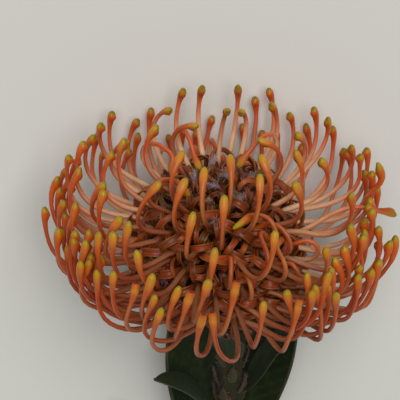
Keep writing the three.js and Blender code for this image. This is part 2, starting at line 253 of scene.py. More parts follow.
# The one style that strays over the right flank arches a little clear of the others, one whose
# club would end inside a perianth comes out in front of it, and two added ones make room.
growing = ease(np.arange(STYLE_STEPS + 1) / STYLE_STEPS / 0.6)[:, None]
for nudged, shift in (
        (STRAY_FLORET, (0, -0.9, 4.0)),
        (86, (2.2, -2.0, 1.8)),
        (44.5, (0, -3.0, 0)),
        (10.25, (1.5, 0, -1.5))):
    style_path[index == nudged] += turn_down(shift) * growing

# A perianth is a tube up to where its lobes part. The tubes are shorter over the crown, and
# longer under the widest part of the dome.
perianth_along = unit(mouth_laid - seat_laid)
tube_length = np.linalg.norm(mouth_laid - seat_laid, axis=1)
near_crown = np.exp(-(DOME_RADIUS * np.sin(polar) / 13) ** 2)
parted_at = 0.8 + 0.05 * wobble(index, 27)
parted_at += np.where(np.cos(polar) > 0, -0.68 * near_crown, 0.22 * ease(-np.cos(polar) / 0.5))

# ---- The styles -------------------------------------------------------------------------------
# Each open floret sends out one waxy style, a little over a millimetre thick, cream where it
# leaves the dome and orange-red further out. It swells into an oblique club, the pollen
# presenter, with a heel on the side that faces the middle and a green stigma at the tip.

MILLIMETRE = 0.001
STYLE_RADIUS = 0.63
STYLE_SIDES = 10
SHAFT_STATIONS = 20
FOOT_IN_CORE = 1.0
CLUB_STARTS = 9.0
# Places along a club, in millimetres from its tip, and its radii there: on its sides, on the heel
# that faces the middle and on its back, and the flare that is added where the stigma has dropped.
CLUB_AT = [0.0, 0.1, 0.3, 0.7, 1.2, 1.8, 2.4, 3.0, 3.6, 4.3, 5.2, 6.3, 7.6, 9]
CLUB_SIDE = [0.14, 0.42, 0.66, 0.92, 1.1, 1.22, 1.26, 1.25, 1.2, 1.11, 0.99, 0.86, 0.75, 0.66]
CLUB_HEEL = [0.05, 0.2, 0.4, 0.72, 1.08, 1.42, 1.6, 1.5, 1.2, 0.88, 0.68, 0.6, 0.6, 0.6]
CLUB_BACK = [0.18, 0.46, 0.72, 0.94, 1.06, 1.12, 1.15, 1.15, 1.12, 1.06, 0.97, 0.86, 0.75, 0.66]
CLUB_FLARE = [0.3, 0.36, 0.36, 0.22, 0.06, -0.06, -0.1, 0, 0, 0, 0, 0, 0, 0]


def paint(red, green, blue):
    """A colour given in 0 to 255 display values, as the linear values that a shader takes."""
    shown = np.array([red, green, blue]) / 255.0
    linear = np.where(shown <= 0.04045, shown / 12.92, ((shown + 0.055) / 1.055) ** 2.4)
    return (*linear.tolist(), 1.0)


def carried_frames(paths, first_side):
    """Tangents, sides and crossings along paths: a side is the last one with its part along the new
    tangent taken away, so it never twists, and the crossing is tangent cross side."""
    tangents = unit(np.gradient(paths, axis=-2))
    sides = np.empty_like(paths)
    side = first_side
    for k in range(paths.shape[-2]):
        along = tangents[..., k, :]
        side = unit(side - (side * along).sum(-1, keepdims=True) * along)
        sides[..., k, :] = side
    return tangents, sides, np.cross(tangents, sides)


def corner_list(corners):
    """Face corners, each a pair of u and v over a grid of faces, as one list of pairs."""
    pairs = [np.stack(np.broadcast_arrays(u, v), -1) for u, v in corners]
    return np.stack(pairs, axis=-2).reshape(-1, 2)


def skins(rings, start_poles, end_poles, traits=None, plots=None):
    """Closed skins over many runs of rings, an array of run, ring, side and coordinate. Each ring is
    joined to the next by four-sided faces, and each end is closed by a fan to its pole. traits are
    values per ring point. plots are the corners (low u, low v, high u, high v) of each run's UV."""
    runs, stations, sides = rings.shape[:3]
    points = np.concatenate([rings.reshape(runs, -1, 3), start_poles[:, None], end_poles[:, None]], axis=1)
    r = np.arange(runs)[:, None, None] * points.shape[1]
    s = np.arange(stations - 1)[None, :, None] * sides
    k = np.arange(sides)[None, None, :]
    k_next = (k + 1) % sides
    quads = np.stack([r + s + k, r + s + k_next, r + s + sides + k_next, r + s + sides + k], axis=-1)
    first_ring, first_next = r + k, r + k_next
    last_ring, last_next = (ring + (stations - 1) * sides for ring in (first_ring, first_next))
    start_pole, end_pole = r + stations * sides, r + stations * sides + 1
    first_fan = np.stack(np.broadcast_arrays(start_pole, first_next, first_ring), axis=-1)
    last_fan = np.stack(np.broadcast_arrays(end_pole, last_ring, last_next), axis=-1)
    carried = {}
    for name, values in (traits or {}).items():
        full = np.broadcast_to(values, (runs, stations, sides)).reshape(runs, -1)
        ends = np.stack([full[:, :sides].mean(1), full[:, -sides:].mean(1)], axis=1)
        carried[name] = np.concatenate([full, ends], axis=1).ravel()
    if plots is None:
        plots = np.tile([0.0, 0.0, 1.0, 1.0], (runs, 1))
    low_u, low_v, high_u, high_v = [plots[:, i][:, None, None] for i in range(4)]
    u, u_next = mix(low_u, high_u, k / sides), mix(low_u, high_u, (k + 1) / sides)
    levels = (np.arange(stations)[None, :, None] + 1) / (stations + 1)
    v, v_next = mix(low_v, high_v, levels[:, :-1]), mix(low_v, high_v, levels[:, 1:])
    v_first, v_last = mix(low_v, high_v, levels[:, :1]), mix(low_v, high_v, levels[:, -1:])
    middle = (u + u_next) / 2
    return {
        "points": points.reshape(-1, 3),
        "quads": quads.reshape(-1, 4),
        "fans": np.concatenate([first_fan.reshape(-1, 3), last_fan.reshape(-1, 3)]),
        "traits": carried,
        "quad_uv": corner_list([(u, v), (u_next, v), (u_next, v_next), (u, v_next)]),
        "fan_uv": np.concatenate([corner_list([(middle, low_v), (u_next, v_first), (u, v_first)]),
                                  corner_list([(middle, high_v), (u, v_last), (u_next, v_last)])]),
    }


def piece(name, blocks, materials, node_names):
    """One smooth mesh object from blocks of skins, in metres: block i takes material i. It rides on
    the one body and stands for the named nodes."""
    starts = np.cumsum([0] + [len(b["points"]) for b in blocks])
    faces = [b[kind] + start for b, start in zip(blocks, starts) for kind in ("quads", "fans")]
    corners = np.concatenate([f.ravel() for f in faces])
    sizes = np.concatenate([np.full(len(f), f.shape[1]) for f in faces])
    which = np.concatenate([np.full(len(b["quads"]) + len(b["fans"]), i) for i, b in enumerate(blocks)])
    points = np.concatenate([b["points"] for b in blocks]) * MILLIMETRE
    plotted = np.concatenate([b[kind] for b in blocks for kind in ("quad_uv", "fan_uv")])
    mesh = bpy.data.meshes.new(name)
    mesh.vertices.add(len(points))
    mesh.vertices.foreach_set("co", points.astype(np.float32).ravel())
    mesh.loops.add(len(corners))
    mesh.loops.foreach_set("vertex_index", corners.astype(np.int32))
    mesh.polygons.add(len(sizes))
    mesh.polygons.foreach_set("loop_start", (np.cumsum(sizes) - sizes).astype(np.int32))
    mesh.polygons.foreach_set("material_index", which.astype(np.int32))
    mesh.polygons.foreach_set("use_smooth", np.ones(len(sizes), dtype=bool))
    mesh.uv_layers.new(name="OFBake").data.foreach_set("uv", plotted.astype(np.float32).ravel())
    for trait_name in sorted({t for b in blocks for t in b["traits"]}):
        values = np.concatenate([b["traits"].get(trait_name, np.zeros(len(b["points"]))) for b in blocks])
        mesh.attributes.new(trait_name, "FLOAT", "POINT").data.foreach_set("value", values.astype(np.float32))
    mesh.update(calc_edges=True)
    for material in materials:
        mesh.materials.append(material)
    made = bpy.data.objects.new(name, mesh)
    bpy.context.scene.collection.objects.link(made)
    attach(made, "root")
    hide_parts(*node_names)
    return made


def feed(tree, socket, value):
    """Links an output to a socket, or sets the socket to a plain value."""
    if isinstance(value, bpy.types.NodeSocket):
        tree.links.new(value, socket)
    else:
        socket.default_value = value


def add_node(tree, kind, inputs=None, **settings):
    """One shader node: settings are its own options, inputs its sockets' values or the links to them."""
    made = tree.nodes.new(kind)
    for name, value in settings.items():
        setattr(made, name, value)
    for name, value in (inputs or {}).items():
        feed(tree, made.inputs[name], value)
    return made


def trait(tree, name):
    """The value that a mesh carries under that name."""
    return add_node(tree, "ShaderNodeAttribute", attribute_name=name).outputs["Fac"]


def colour_ramp(tree, value, stops):
    """The colour at a value between stops of (place, colour)."""
    made = add_node(tree, "ShaderNodeValToRGB", {"Fac": value})
    elements = made.color_ramp.elements
    while len(elements) < len(stops):
        elements.new(1.0)
    for element, (place, colour) in zip(elements, stops):
        element.position = place
        element.color = colour
    return made.outputs["Color"]


def rescale(tree, value, low, high, to_low=0.0, to_high=1.0):
    """The value moved from between low and high to between to_low and to_high, and held there."""
    made = add_node(tree, "ShaderNodeMapRange", {"Value": value, "From Min": low, "From Max": high,
                                                 "To Min": to_low, "To Max": to_high})
    return made.outputs["Result"]


def blend_colours(tree, share, first, second):
    """The first colour mixed with the second by a share."""
    made = add_node(tree, "ShaderNodeMix", data_type="RGBA")
    for place, value in ((0, share), (6, first), (7, second)):
        feed(tree, made.inputs[place], value)
    return made.outputs[2]


def multiply(tree, first, second):
    """The product of two values."""
    return add_node(tree, "ShaderNodeMath", {0: first, 1: second}, operation="MULTIPLY").outputs[0]


def new_material(name, **constants):
    """A material with one Principled BSDF, whose constants are given by socket name."""
    material = bpy.data.materials.new(name)
    material.use_nodes = True
    skin = material.node_tree.nodes["Principled BSDF"]
    for socket, value in constants.items():
        skin.inputs[socket].default_value = value
    return material, material.node_tree, skin


def new_group(name, inputs, outputs):
    """A shader node group with named number sockets, and its two ends."""
    group = bpy.data.node_groups.new(name, "ShaderNodeTree")
    for socket, default in inputs:
        made = group.interface.new_socket(socket, in_out="INPUT", socket_type="NodeSocketFloat")
        made.default_value = default
    for socket in outputs:
        group.interface.new_socket(socket, in_out="OUTPUT", socket_type="NodeSocketFloat")
    return group, group.nodes.new("NodeGroupInput"), group.nodes.new("NodeGroupOutput")


# Living tissue is never one flat colour: it has cloudy patches some millimetres across, finer
# cells, and long streaks that follow the growth.
CELL_SCALE = 2600.0
tissue_group, tissue_in, tissue_out = new_group(
    "plant_tissue", [("Patch Size", 300.0), ("Streak Count", 40.0), ("Streak Length", 3.0)],
    ["Patches", "Cells", "Streaks"])
object_place = add_node(tissue_group, "ShaderNodeTexCoord").outputs["Object"]
patch_noise = add_node(tissue_group, "ShaderNodeTexNoise", {
    "Vector": object_place, "Scale": tissue_in.outputs["Patch Size"], "Detail": 3.0, "Roughness": 0.6})
cell_noise = add_node(tissue_group, "ShaderNodeTexNoise", {
    "Vector": object_place, "Scale": CELL_SCALE, "Detail": 2.0})
unwrapped_place = add_node(tissue_group, "ShaderNodeUVMap", uv_map="OFBake").outputs["UV"]
streak_scale = add_node(tissue_group, "ShaderNodeCombineXYZ", {
    "X": tissue_in.outputs["Streak Count"], "Y": tissue_in.outputs["Streak Length"], "Z": 1.0})
streak_place = add_node(tissue_group, "ShaderNodeVectorMath",
                        {0: unwrapped_place, 1: streak_scale.outputs[0]}, operation="MULTIPLY")
streak_noise = add_node(tissue_group, "ShaderNodeTexNoise", {
    "Vector": streak_place.outputs[0], "Scale": 1.0, "Detail": 2.0})
for name, made in (("Patches", patch_noise), ("Cells", cell_noise), ("Streaks", streak_noise)):
    tissue_group.links.new(rescale(tissue_group, made.outputs["Fac"], 0.3, 0.7), tissue_out.inputs[name])


def place_tissue(tree, patch_size, streak_count=40.0, streak_length=3.0):
    """The tissue group placed in a material with that material's own sizes."""
    return add_node(tree, "ShaderNodeGroup", {
        "Patch Size": patch_size, "Streak Count": streak_count, "Streak Length": streak_length,
    }, node_tree=tissue_group)


def tinted(tree, tissue, colour, *tints):
    """A colour after some tints in turn. A tint is a shade and the shares whose product it is mixed
    in by. A share is the name of a tissue output or a trait, and, where it is to be rescaled, the
    two values that it is read between and the two that these become."""
    for shade, *shares in tints:
        product = None
        for name, *span in shares:
            share = tissue.outputs[name] if name in tissue.outputs else trait(tree, name)
            if span:
                share = rescale(tree, share, *span)
            product = share if product is None else multiply(tree, product, share)
        colour = blend_colours(tree, product, colour, shade)
    return colour


def finish_skin(tree, skin, tissue, colour, roughness, grain, strength, distance):
    """Gives a skin its colour, a roughness that runs between two values with the cells, and the
    named tissue output as a bump of some strength and distance."""
    tree.links.new(colour, skin.inputs["Base Color"])
    if roughness:
        tree.links.new(rescale(tree, tissue.outputs["Cells"], 0.0, 1.0, *roughness), skin.inputs["Roughness"])
    bump = add_node(tree, "ShaderNodeBump", {
        "Height": tissue.outputs[grain], "Strength": strength, "Distance": distance})
    tree.links.new(bump.outputs["Normal"], skin.inputs["Normal"])


style_material, tree, skin = new_material("style_wax", **{
    "Subsurface Weight": 0.25, "Subsurface Radius": (1.0, 0.4, 0.15), "Subsurface Scale": 0.0012,
    "IOR": 1.4, "Specular IOR Level": 0.36, "Coat Weight": 0.14, "Coat Roughness": 0.2})
tissue = place_tissue(tree, 220.0, 90.0, 5.0)
shaft_colour = colour_ramp(tree, trait(tree, "along"), [
    (0.0, paint(168, 104, 42)), (0.14, paint(202, 98, 34)), (0.36, paint(230, 94, 24)),
    (0.6, paint(232, 80, 12)), (0.85, paint(226, 70, 8)), (1.0, paint(230, 84, 10))])

# Some shafts are redder. Those low in front are painted darker red as shade, or tan where they are pale, and
# their feet near the dome are painted dark brown as shade. The side away from the middle has a pale band
# painted as light glowing through the wax.
shaft_colour = tinted(
    tree, tissue, shaft_colour,
    (paint(184, 44, 6), ("tone", 0.0, 1.0, 0.0, 0.6)),
    (paint(132, 34, 0), ("shaded", 0.36, 0.0), ("along", 0.9, 0.35, 0.4, 0.85)),
    (paint(190, 116, 50), ("shaded", 0.55, 0.2), ("tone", 0.42, 0.2, 0.0, 0.75), ("along", 1.0, 0.6)),
    (paint(72, 26, 3), ("along", 0.55, 0.1, 0.0, 0.85), ("shaded", 0.4, 0.1)),
    (paint(232, 156, 96), ("facing_in", -0.6, -1.0, 0.0, 0.42)))
# The flanks of a shaft are painted darker red as shade.
facing_squared = multiply(tree, trait(tree, "facing_in"), trait(tree, "facing_in"))
painted_edge_shade = rescale(tree, facing_squared, 0.5, 0.05, 0.0, 0.5)
shaft_colour = blend_colours(tree, painted_edge_shade, shaft_colour, paint(190, 48, 8))

# At the back, where a style is painted as lit from behind, the side that faces the middle is painted cream as
# glow. The foot is cream, painted paler towards the back as glow. Inside the perianth a style is brown.
shaft_colour = tinted(
    tree, tissue, shaft_colour,
    (paint(255, 204, 158), ("facing_in", -0.6, 0.5), ("along", 0.85, 0.15, 0.1, 1.0),
     ("shaded", 0.0, 0.5, 0.2, 1.0)),
    (paint(246, 204, 164), ("along", 0.6, 0.05), ("shaded", 0.08, 0.7, 0.0, 0.85)),
    (paint(140, 52, 16), ("along", -0.04, -0.12, 0.0, 0.92)))
club_share = rescale(tree, trait(tree, "from_tip"), 0.0, CLUB_STARTS)
outer_club = colour_ramp(tree, club_share, [
    (0.0, paint(142, 138, 14)), (0.09, paint(188, 168, 16)), (0.17, paint(214, 154, 36)),
    (0.34, paint(220, 138, 50)), (0.5, paint(208, 104, 38)), (1.0, paint(198, 76, 26))])
inner_club = colour_ramp(tree, club_share, [
    (0.0, paint(112, 106, 10)), (0.12, paint(156, 138, 14)), (0.2, paint(184, 92, 16)),
    (0.33, paint(168, 56, 18)), (0.5, paint(212, 100, 34)), (1.0, paint(220, 108, 48))])
club_colour = blend_colours(tree, rescale(tree, trait(tree, "facing_in"), -0.35, 0.5), outer_club, inner_club)

# Clubs of the outer ring are redder. A spent one has lost its green tip, and has a red torn rim
# round a dark scar.
club_colour = tinted(
    tree, tissue, club_colour,
    (paint(212, 76, 16), ("outer_ring",), ("from_tip", 0.7, 1.9, 0.0, 0.62)),
    (paint(216, 128, 46), ("spent", 0.4, 0.6), ("from_tip", 2.6, 1.6)),
    (paint(196, 62, 6), ("spent", 0.4, 0.6), ("from_tip", 1.1, 0.5, 0.0, 0.8)),
    (paint(70, 24, 8), ("spent", 0.4, 0.6), ("from_tip", 0.3, 0.05)))
style_colour = blend_colours(tree, rescale(tree, trait(tree, "from_tip"), CLUB_STARTS, 5.0),
                             shaft_colour, club_colour)
style_colour = tinted(tree, tissue, style_colour,
                      (paint(140, 50, 10), ("Patches", 0.0, 1.0, 0.0, 0.3)),
                      (paint(230, 140, 58), ("Streaks", 0.0, 1.0, 0.0, 0.2)))
finish_skin(tree, skin, tissue, style_colour, (0.34, 0.5), "Streaks", 0.25, 0.0001)

# A style's centre line starts at the foot of its perianth, just inside the receptacle.
smooth_path = style_path.copy()
for smoothing in range(6):
    smooth_path[:, 1:-1] = 0.5 * smooth_path[:, 1:-1] + 0.25 * smooth_path[:, :-2] + 0.25 * smooth_path[:, 2:]
hidden_length = tube_length + FOOT_IN_CORE
club_reach = (1 + 0.16 * wobble(index, 11)) * mix(1, 0.82, ease((np.sin(around) + 0.7) / 0.9))
club_stations = np.array([7.6, 6.3, 5.2, 4.3, 3.6, 3.0, 2.4, 1.8, 1.2, 0.7, 0.3, 0.1])
shaft_starts, shaft_ends = style_length + hidden_length, club_stations[0] * club_reach + 1.2
from_tip = np.concatenate([
    mix(shaft_starts[:, None], shaft_ends[:, None], np.linspace(0, 1, SHAFT_STATIONS)),
    club_stations * club_reach[:, None]], axis=1)
reach = style_length[:, None] - from_tip
place = np.clip(reach / step[:, None], 0, STYLE_STEPS - 1e-6)
below = place.astype(int)
row = np.arange(STYLES)[:, None]
centres = mix(smooth_path[row, below], smooth_path[row, below + 1], (place - below)[..., None])
centres += perianth_along[:, None] * np.minimum(reach, 0)[..., None]
tangents, sides_in, crossings = carried_frames(centres, np.broadcast_to(axis_laid, (STYLES, 3)))

# A section's radius is that of the heel, the back or the sides by the squares of the cosine and the
# sine of the way it faces, and it passes into that of the grooved shaft.
theta = np.arange(STYLE_SIDES) / STYLE_SIDES * 2 * np.pi
facing = np.cos(theta)
tip_scaled = from_tip / club_reach[:, None]
heel_radius, back_radius, side_radius, flare = [
    np.interp(tip_scaled, CLUB_AT, radii)[..., None]
    for radii in (CLUB_HEEL, CLUB_BACK, CLUB_SIDE, CLUB_FLARE)]
low_in_front = (rank < 0.36) & (np.sin(heading) < -0.7)
spent = np.where(low_in_front & (wobble(index, 14) > -0.45) & ~stray, 1.0, 0.0)
heel_radius = heel_radius - 0.25 * spent[:, None, None] * (heel_radius - side_radius)
radius = (heel_radius * np.maximum(facing, 0) ** 2 + back_radius * np.maximum(-facing, 0) ** 2
          + side_radius * np.sin(theta) ** 2 + flare * spent[:, None, None])
club_size = (1 + 0.09 * wobble(index, 12)) * (1 - 0.14 * np.maximum(np.sin(around), 0)) * 0.97
shaft_radius = STYLE_RADIUS * mix(1.22, 0.9, np.clip(reach / style_length[:, None], 0, 1))
from_groove = (theta + np.pi) % (2 * np.pi) - np.pi
groove = 1 - 0.14 * np.exp(-(from_groove / 0.5) ** 2)
on_shaft = ease((tip_scaled - 6.6) / 2.4)[..., None]
radius = mix(radius * club_size[:, None, None], shaft_radius[..., None] * groove, on_shaft)
style_rings = (centres[:, :, None] + sides_in[:, :, None] * (radius * np.cos(theta))[..., None]
               + crossings[:, :, None] * (radius * np.sin(theta))[..., None])
tip_pole = centres[:, -1] + tangents[:, -1] * (0.12 - 0.7 * spent)[:, None] - sides_in[:, -1] * 0.1
foot_pole = centres[:, 0]

# One piece holds the styles of one CAD cluster: n, n + 8 and n + 13, with the added ones between.
# A share of painted light for each style. It is high at the back, on the right flank and away from the crown,
# where a style is painted as glowing with light from behind. It is low in front and near the crown, where a
# style takes painted shade.
painted_backlight_share = ease((np.sin(around) + 0.25 * np.maximum(np.cos(around), 0) + 0.5) / 1.1)
painted_backlight_share *= ease((polar - 0.66) / 0.25)
outer_ring = bowl * ease((np.sin(heading) + 0.85) / 0.5)
clusters = [[n for n in (first, first + 8, first + 13) if 0 <= n < FLORETS]
            for first in range(-12, FLORETS, 3)]
for number, members in enumerate(clusters, start=1):
    m = np.flatnonzero(np.isin(np.floor(index), members) & ~crown)
    if not len(m):
        continue
    plots = np.array([[(i + 0.04) / len(m), 0.005, (i + 0.96) / len(m), 0.995] for i in range(len(m))])
    traits = {
        "along": (reach[m] / style_length[m, None])[..., None],
        "from_tip": (tip_scaled[m] * np.where(stray[m], 0.55, 1)[:, None])[..., None],
        "facing_in": facing[None, None, :],
        "tone": (0.5 + 0.5 * wobble(index[m], 13))[:, None, None],
        "shaded": painted_backlight_share[m, None, None],
        "spent": spent[m, None, None],
        "outer_ring": outer_ring[m, None, None],
    }
    block = skins(style_rings[m], foot_pole[m], tip_pole[m], traits, plots)
    piece("styles_%02d" % number, [block], [style_material], ["florets_%02d" % number])

# ---- The perianths ----------------------------------------------------------------------------
# Under each style stands a narrow tube of four fused lobes. Once the style is out, they roll back
# like wood shavings, one broader than the others: channelled and glossy red-brown inside, downy
# outside, tan along the rims. On the crown they have only begun to part.

TUBE_SIDES = 8
LOBE_STATIONS = 15
LOBES_PER_FLORET = 4
LOBE_LENGTH = 10.5
BROAD_LOBE_LENGTH = 15.0
CROWN_LOBE_LENGTH = 5.5
# A lobe's section: places across it in half widths, heights in millimetres, and how far each is
# on the inner face.
LOBE_ACROSS = np.array([1.0, 0.62, 0.0, -0.62, -1.0, -0.62, 0.0, 0.62])
LOBE_UP = np.array([-0.42, -0.02, 0.14, -0.02, -0.42, -0.18, -0.04, -0.18])
LOBE_INNER = np.array([0.5, 0.0, 0.0, 0.0, 0.5, 1.0, 1.0, 1.0])
SILKS_PER_LOBE = 48
SILK_THICKNESS = 0.04
seeded = np.random.default_rng(11)


def plots_in_rows(count, columns, low, high):
    """Plots in rows of so many columns that share the rectangle from low to high, with a margin."""
    rows = -(-count // columns)
    n = np.arange(count)
    wide, tall = (high[0] - low[0]) / columns, (high[1] - low[1]) / rows
    left = low[0] + (n % columns) * wide
    bottom = low[1] + (n // columns) * tall
    return np.stack([left + 0.08 * wide, bottom + 0.08 * tall, left + 0.92 * wide, bottom + 0.92 * tall],
                    axis=-1)


def silk_block(roots, directions, lengths, sag, thickness, plots, tone):
    """Fine hairs: three-sided spikes in two spans, whose middle and tip sag by a share of the length."""
    first = unit(directions)
    across = unit(np.cross(first, [0.37, 0.61, 0.7]))
    over = np.cross(first, across)
    long = lengths[:, None]
    drop = np.array([0, 0, -sag]) * long
    path = np.stack([roots, roots + first * long * 0.5, roots + first * long * 0.95 + drop * 0.7], axis=1)
    turn = np.arange(3) / 3 * 2 * np.pi
    width = np.array([1.0, 0.75, 0.3])[None, :, None, None] * thickness
    rings = path[:, :, None] + width * (across[:, None, None] * np.cos(turn)[None, None, :, None]
                                        + over[:, None, None] * np.sin(turn)[None, None, :, None])
    tips = roots + first * long + drop
    return skins(rings, roots - first * 0.05, tips, {"tone": tone[:, None, None]}, plots)


perianth_material, tree, skin = new_material("perianth_ribbon", **{
    "Subsurface Weight": 0.08, "Subsurface Radius": (1.0, 0.3, 0.15), "Subsurface Scale": 0.0008,
    "Specular IOR Level": 0.38, "Coat Weight": 0.14, "Coat Roughness": 0.3})
tissue = place_tissue(tree, 420.0, 150.0, 4.0)
# Down the tubes and at the feet of the lobes both faces are painted near black, as shade deep between the
# florets.
inner_colour = colour_ramp(tree, trait(tree, "along"), [
    (0.0, paint(24, 12, 5)), (0.3, paint(50, 18, 6)), (0.45, paint(112, 34, 8)),
    (0.65, paint(164, 56, 12)), (0.88, paint(124, 42, 10)), (1.0, paint(100, 54, 34))])
inner_colour = tinted(tree, tissue, inner_colour,
                      (paint(82, 24, 8), ("tone", 0.25, 0.75)),
                      (paint(196, 90, 24), ("tone", 0.2, 0.0, 0.0, 0.8)))
downy_colour = colour_ramp(tree, trait(tree, "along"), [
    (0.0, paint(40, 30, 18)), (0.35, paint(66, 44, 26)), (0.7, paint(112, 66, 44)),
    (1.0, paint(138, 104, 96))])
lobe_colour = blend_colours(tree, trait(tree, "inner_face"), downy_colour, inner_colour)
# The rims are tan. Orange streaks along the growth also stand in as painted glints of light.
lobe_colour = tinted(tree, tissue, lobe_colour,
                     (paint(206, 138, 62), ("edge", 0.72, 1.0), ("along", 0.35, 0.6, 0.0, 0.8)),
                     (paint(48, 15, 4), ("Patches", 0.0, 1.0, 0.0, 0.55)),
                     (paint(212, 100, 24), ("Streaks", 0.0, 1.0, 0.0, 0.4)),
                     (paint(88, 74, 28), ("tone", 0.82, 0.95, 0.0, 0.6)))
finish_skin(tree, skin, tissue, lobe_colour, (0.3, 0.5), "Streaks", 0.5, 0.0002)

silk_material, tree, skin = new_material("lilac_silk", **{
    "Roughness": 0.5, "Sheen Weight": 0.25, "Sheen Tint": paint(230, 215, 225)})
silk_colour = colour_ramp(tree, trait(tree, "tone"), [
    (0.0, paint(110, 74, 64)), (0.5, paint(168, 138, 142)), (1.0, paint(228, 214, 226))])
tree.links.new(silk_colour, skin.inputs["Base Color"])

pollen_material, tree, skin = new_material("pollen", **{"Roughness": 0.7})
pollen_colour = colour_ramp(tree, trait(tree, "tone"), [
    (0.0, paint(196, 140, 18)), (1.0, paint(240, 206, 52))])
tree.links.new(pollen_colour, skin.inputs["Base Color"])

upper = axis_laid - (perianth_along @ axis_laid)[:, None] * perianth_along
near_axis = np.linalg.norm(upper, axis=1) < 0.25
upper[near_axis] = -outwards_laid[near_axis]
upper = unit(upper - (upper * perianth_along).sum(1, keepdims=True) * perianth_along)
beside = np.cross(perianth_along, upper)

# The tube swells a little towards its mouth, and has a flute for each lobe.
tube_turn = np.arange(TUBE_SIDES) / TUBE_SIDES * 2 * np.pi
tube_share = np.array([0.06, 0.36, 0.68, 0.86, 1.0, 1.07])
tube_radius = np.array([0.85, 1.15, 1.6, 2.0, 2.1, 1.8])
fluted = 1 + 0.1 * np.cos(4 * tube_turn + np.pi)
tube_centres = mix(seat_laid[:, None], mouth_laid[:, None], (parted_at[:, None] * tube_share)[..., None])
tube_rings = tube_centres[:, :, None] + (tube_radius[:, None] * fluted)[None, ..., None] * (
    upper[:, None, None] * np.cos(tube_turn)[:, None] + beside[:, None, None] * np.sin(tube_turn)[:, None])

# A lobe curls back by its own angle, most of it near the tip, veers sideways with the square of the
# share run, and twists. Those low in front droop. Lobe 0 is the broad one.
lobe_floret = np.repeat(np.arange(FLORETS), LOBES_PER_FLORET)
lobe_number = np.tile(np.arange(LOBES_PER_FLORET), FLORETS)
lobe_id = lobe_floret * LOBES_PER_FLORET + lobe_number
broad = lobe_number == 0
lobe_angle = np.radians(90 * lobe_number + 360 * ((lobe_floret * 0.618) % 1) + 30 * wobble(lobe_id, 21))
lobe_along = perianth_along[lobe_floret]
lobe_out = (upper[lobe_floret] * np.cos(lobe_angle)[:, None]
            + beside[lobe_floret] * np.sin(lobe_angle)[:, None])
lobe_across = np.cross(lobe_along, lobe_out)
lobe_open = ~crown[lobe_floret]
lobe_length = np.where(lobe_open, np.where(broad, BROAD_LOBE_LENGTH, LOBE_LENGTH) + 2.5 * wobble(lobe_id, 22),
                       CROWN_LOBE_LENGTH + 1.2 * wobble(lobe_id, 22))
lobe_turn = np.radians(np.where(lobe_open, 285 + 85 * wobble(lobe_id, 23), 170 + 60 * wobble(lobe_id, 23)))
lobe_turn = np.where(lobe_open | (wobble(lobe_id, 29) > 0.1), lobe_turn, -0.45 * lobe_turn)
lobe_share = np.linspace(0, 1, LOBE_STATIONS)
curl = (lobe_turn[:, None] * (0.35 * lobe_share + 0.65 * lobe_share ** 1.8))[..., None]
lobe_tangent = lobe_along[:, None] * np.cos(curl) + lobe_out[:, None] * np.sin(curl)
lobe_normal = lobe_along[:, None] * np.sin(curl) - lobe_out[:, None] * np.cos(curl)
lobe_step = (lobe_length / (LOBE_STATIONS - 1))[:, None, None]
middle_steps = 0.5 * (lobe_tangent[:, 1:] + lobe_tangent[:, :-1]) * lobe_step
lobe_start = mix(seat_laid, mouth_laid, parted_at[:, None])[lobe_floret] + lobe_out * 1.3
lobe_path = lobe_start[:, None] + np.concatenate(
    [np.zeros_like(middle_steps[:, :1]), np.cumsum(middle_steps, axis=1)], axis=1)
veer = 2.4 * wobble(lobe_id, 24)
lobe_path += lobe_across[:, None] * veer[:, None, None] * (lobe_share ** 2)[None, :, None]
drooping = 3.0 * ease((0.3 - rank[lobe_floret]) / 0.25)
lobe_path -= axis_laid * (drooping[:, None] * lobe_share ** 1.5)[..., None]

# Its half width narrows towards the tip, and its rims are frilled.
lobe_width = np.where(broad, 1.25 + 0.35 * wobble(lobe_id, 28), 0.8 + 0.2 * wobble(lobe_id, 28))
lobe_half = lobe_width[:, None] * np.interp(lobe_share, [0, 0.3, 0.7, 0.85, 0.94, 1.0],
                                            [0.75, 1.0, 0.85, 0.62, 0.6, 0.25])
lobe_twist = (np.radians(60) * wobble(lobe_id, 35)[:, None] * lobe_share)[..., None]
twisted_across = lobe_across[:, None] * np.cos(lobe_twist) + lobe_normal * np.sin(lobe_twist)
twisted_normal = lobe_normal * np.cos(lobe_twist) - lobe_across[:, None] * np.sin(lobe_twist)
frill = np.sin(7 * lobe_share[None, :] + 9 * wobble(lobe_id, 36)[:, None])[..., None]
lobe_up = LOBE_UP * (1 + 0.5 * frill * (np.abs(LOBE_ACROSS) > 0.9))
lobe_rings = (lobe_path[:, :, None]
              + twisted_across[:, :, None] * (lobe_half[:, :, None] * LOBE_ACROSS)[..., None]
              - twisted_normal[:, :, None] * lobe_up[..., None])

# One lobe in nine still holds a full tuft of silk; the others have lost most of theirs.
tufted = (wobble(lobe_id, 30) > 0.78) | (~lobe_open & broad)
silk_owner = np.repeat(lobe_id, np.where(tufted, SILKS_PER_LOBE, SILKS_PER_LOBE // 8))
silk_share = 0.72 + 0.28 * seeded.random(len(silk_owner)) ** 0.7
silk_place = silk_share * (LOBE_STATIONS - 1) - 1e-6
silk_below = silk_place.astype(int)
silk_root = mix(lobe_path[silk_owner, silk_below], lobe_path[silk_owner, silk_below + 1],
                (silk_place - silk_below)[:, None])
silk_root += lobe_across[silk_owner] * (0.6 * (2 * seeded.random(len(silk_owner)) - 1))[:, None]
scatter = 2 * seeded.random((len(silk_owner), 3)) - 1
silk_way = (-0.5 * lobe_normal[silk_owner, silk_below] + 0.9 * lobe_tangent[silk_owner, silk_below]
            + 0.8 * lobe_along[silk_owner] + 0.5 * scatter)
silk_length = np.where(tufted[silk_owner], 2.2, 1.0) + 1.0 * seeded.random(len(silk_owner))
silk_tone = 0.5 * seeded.random(len(silk_owner)) + 0.5 * tufted[silk_owner]

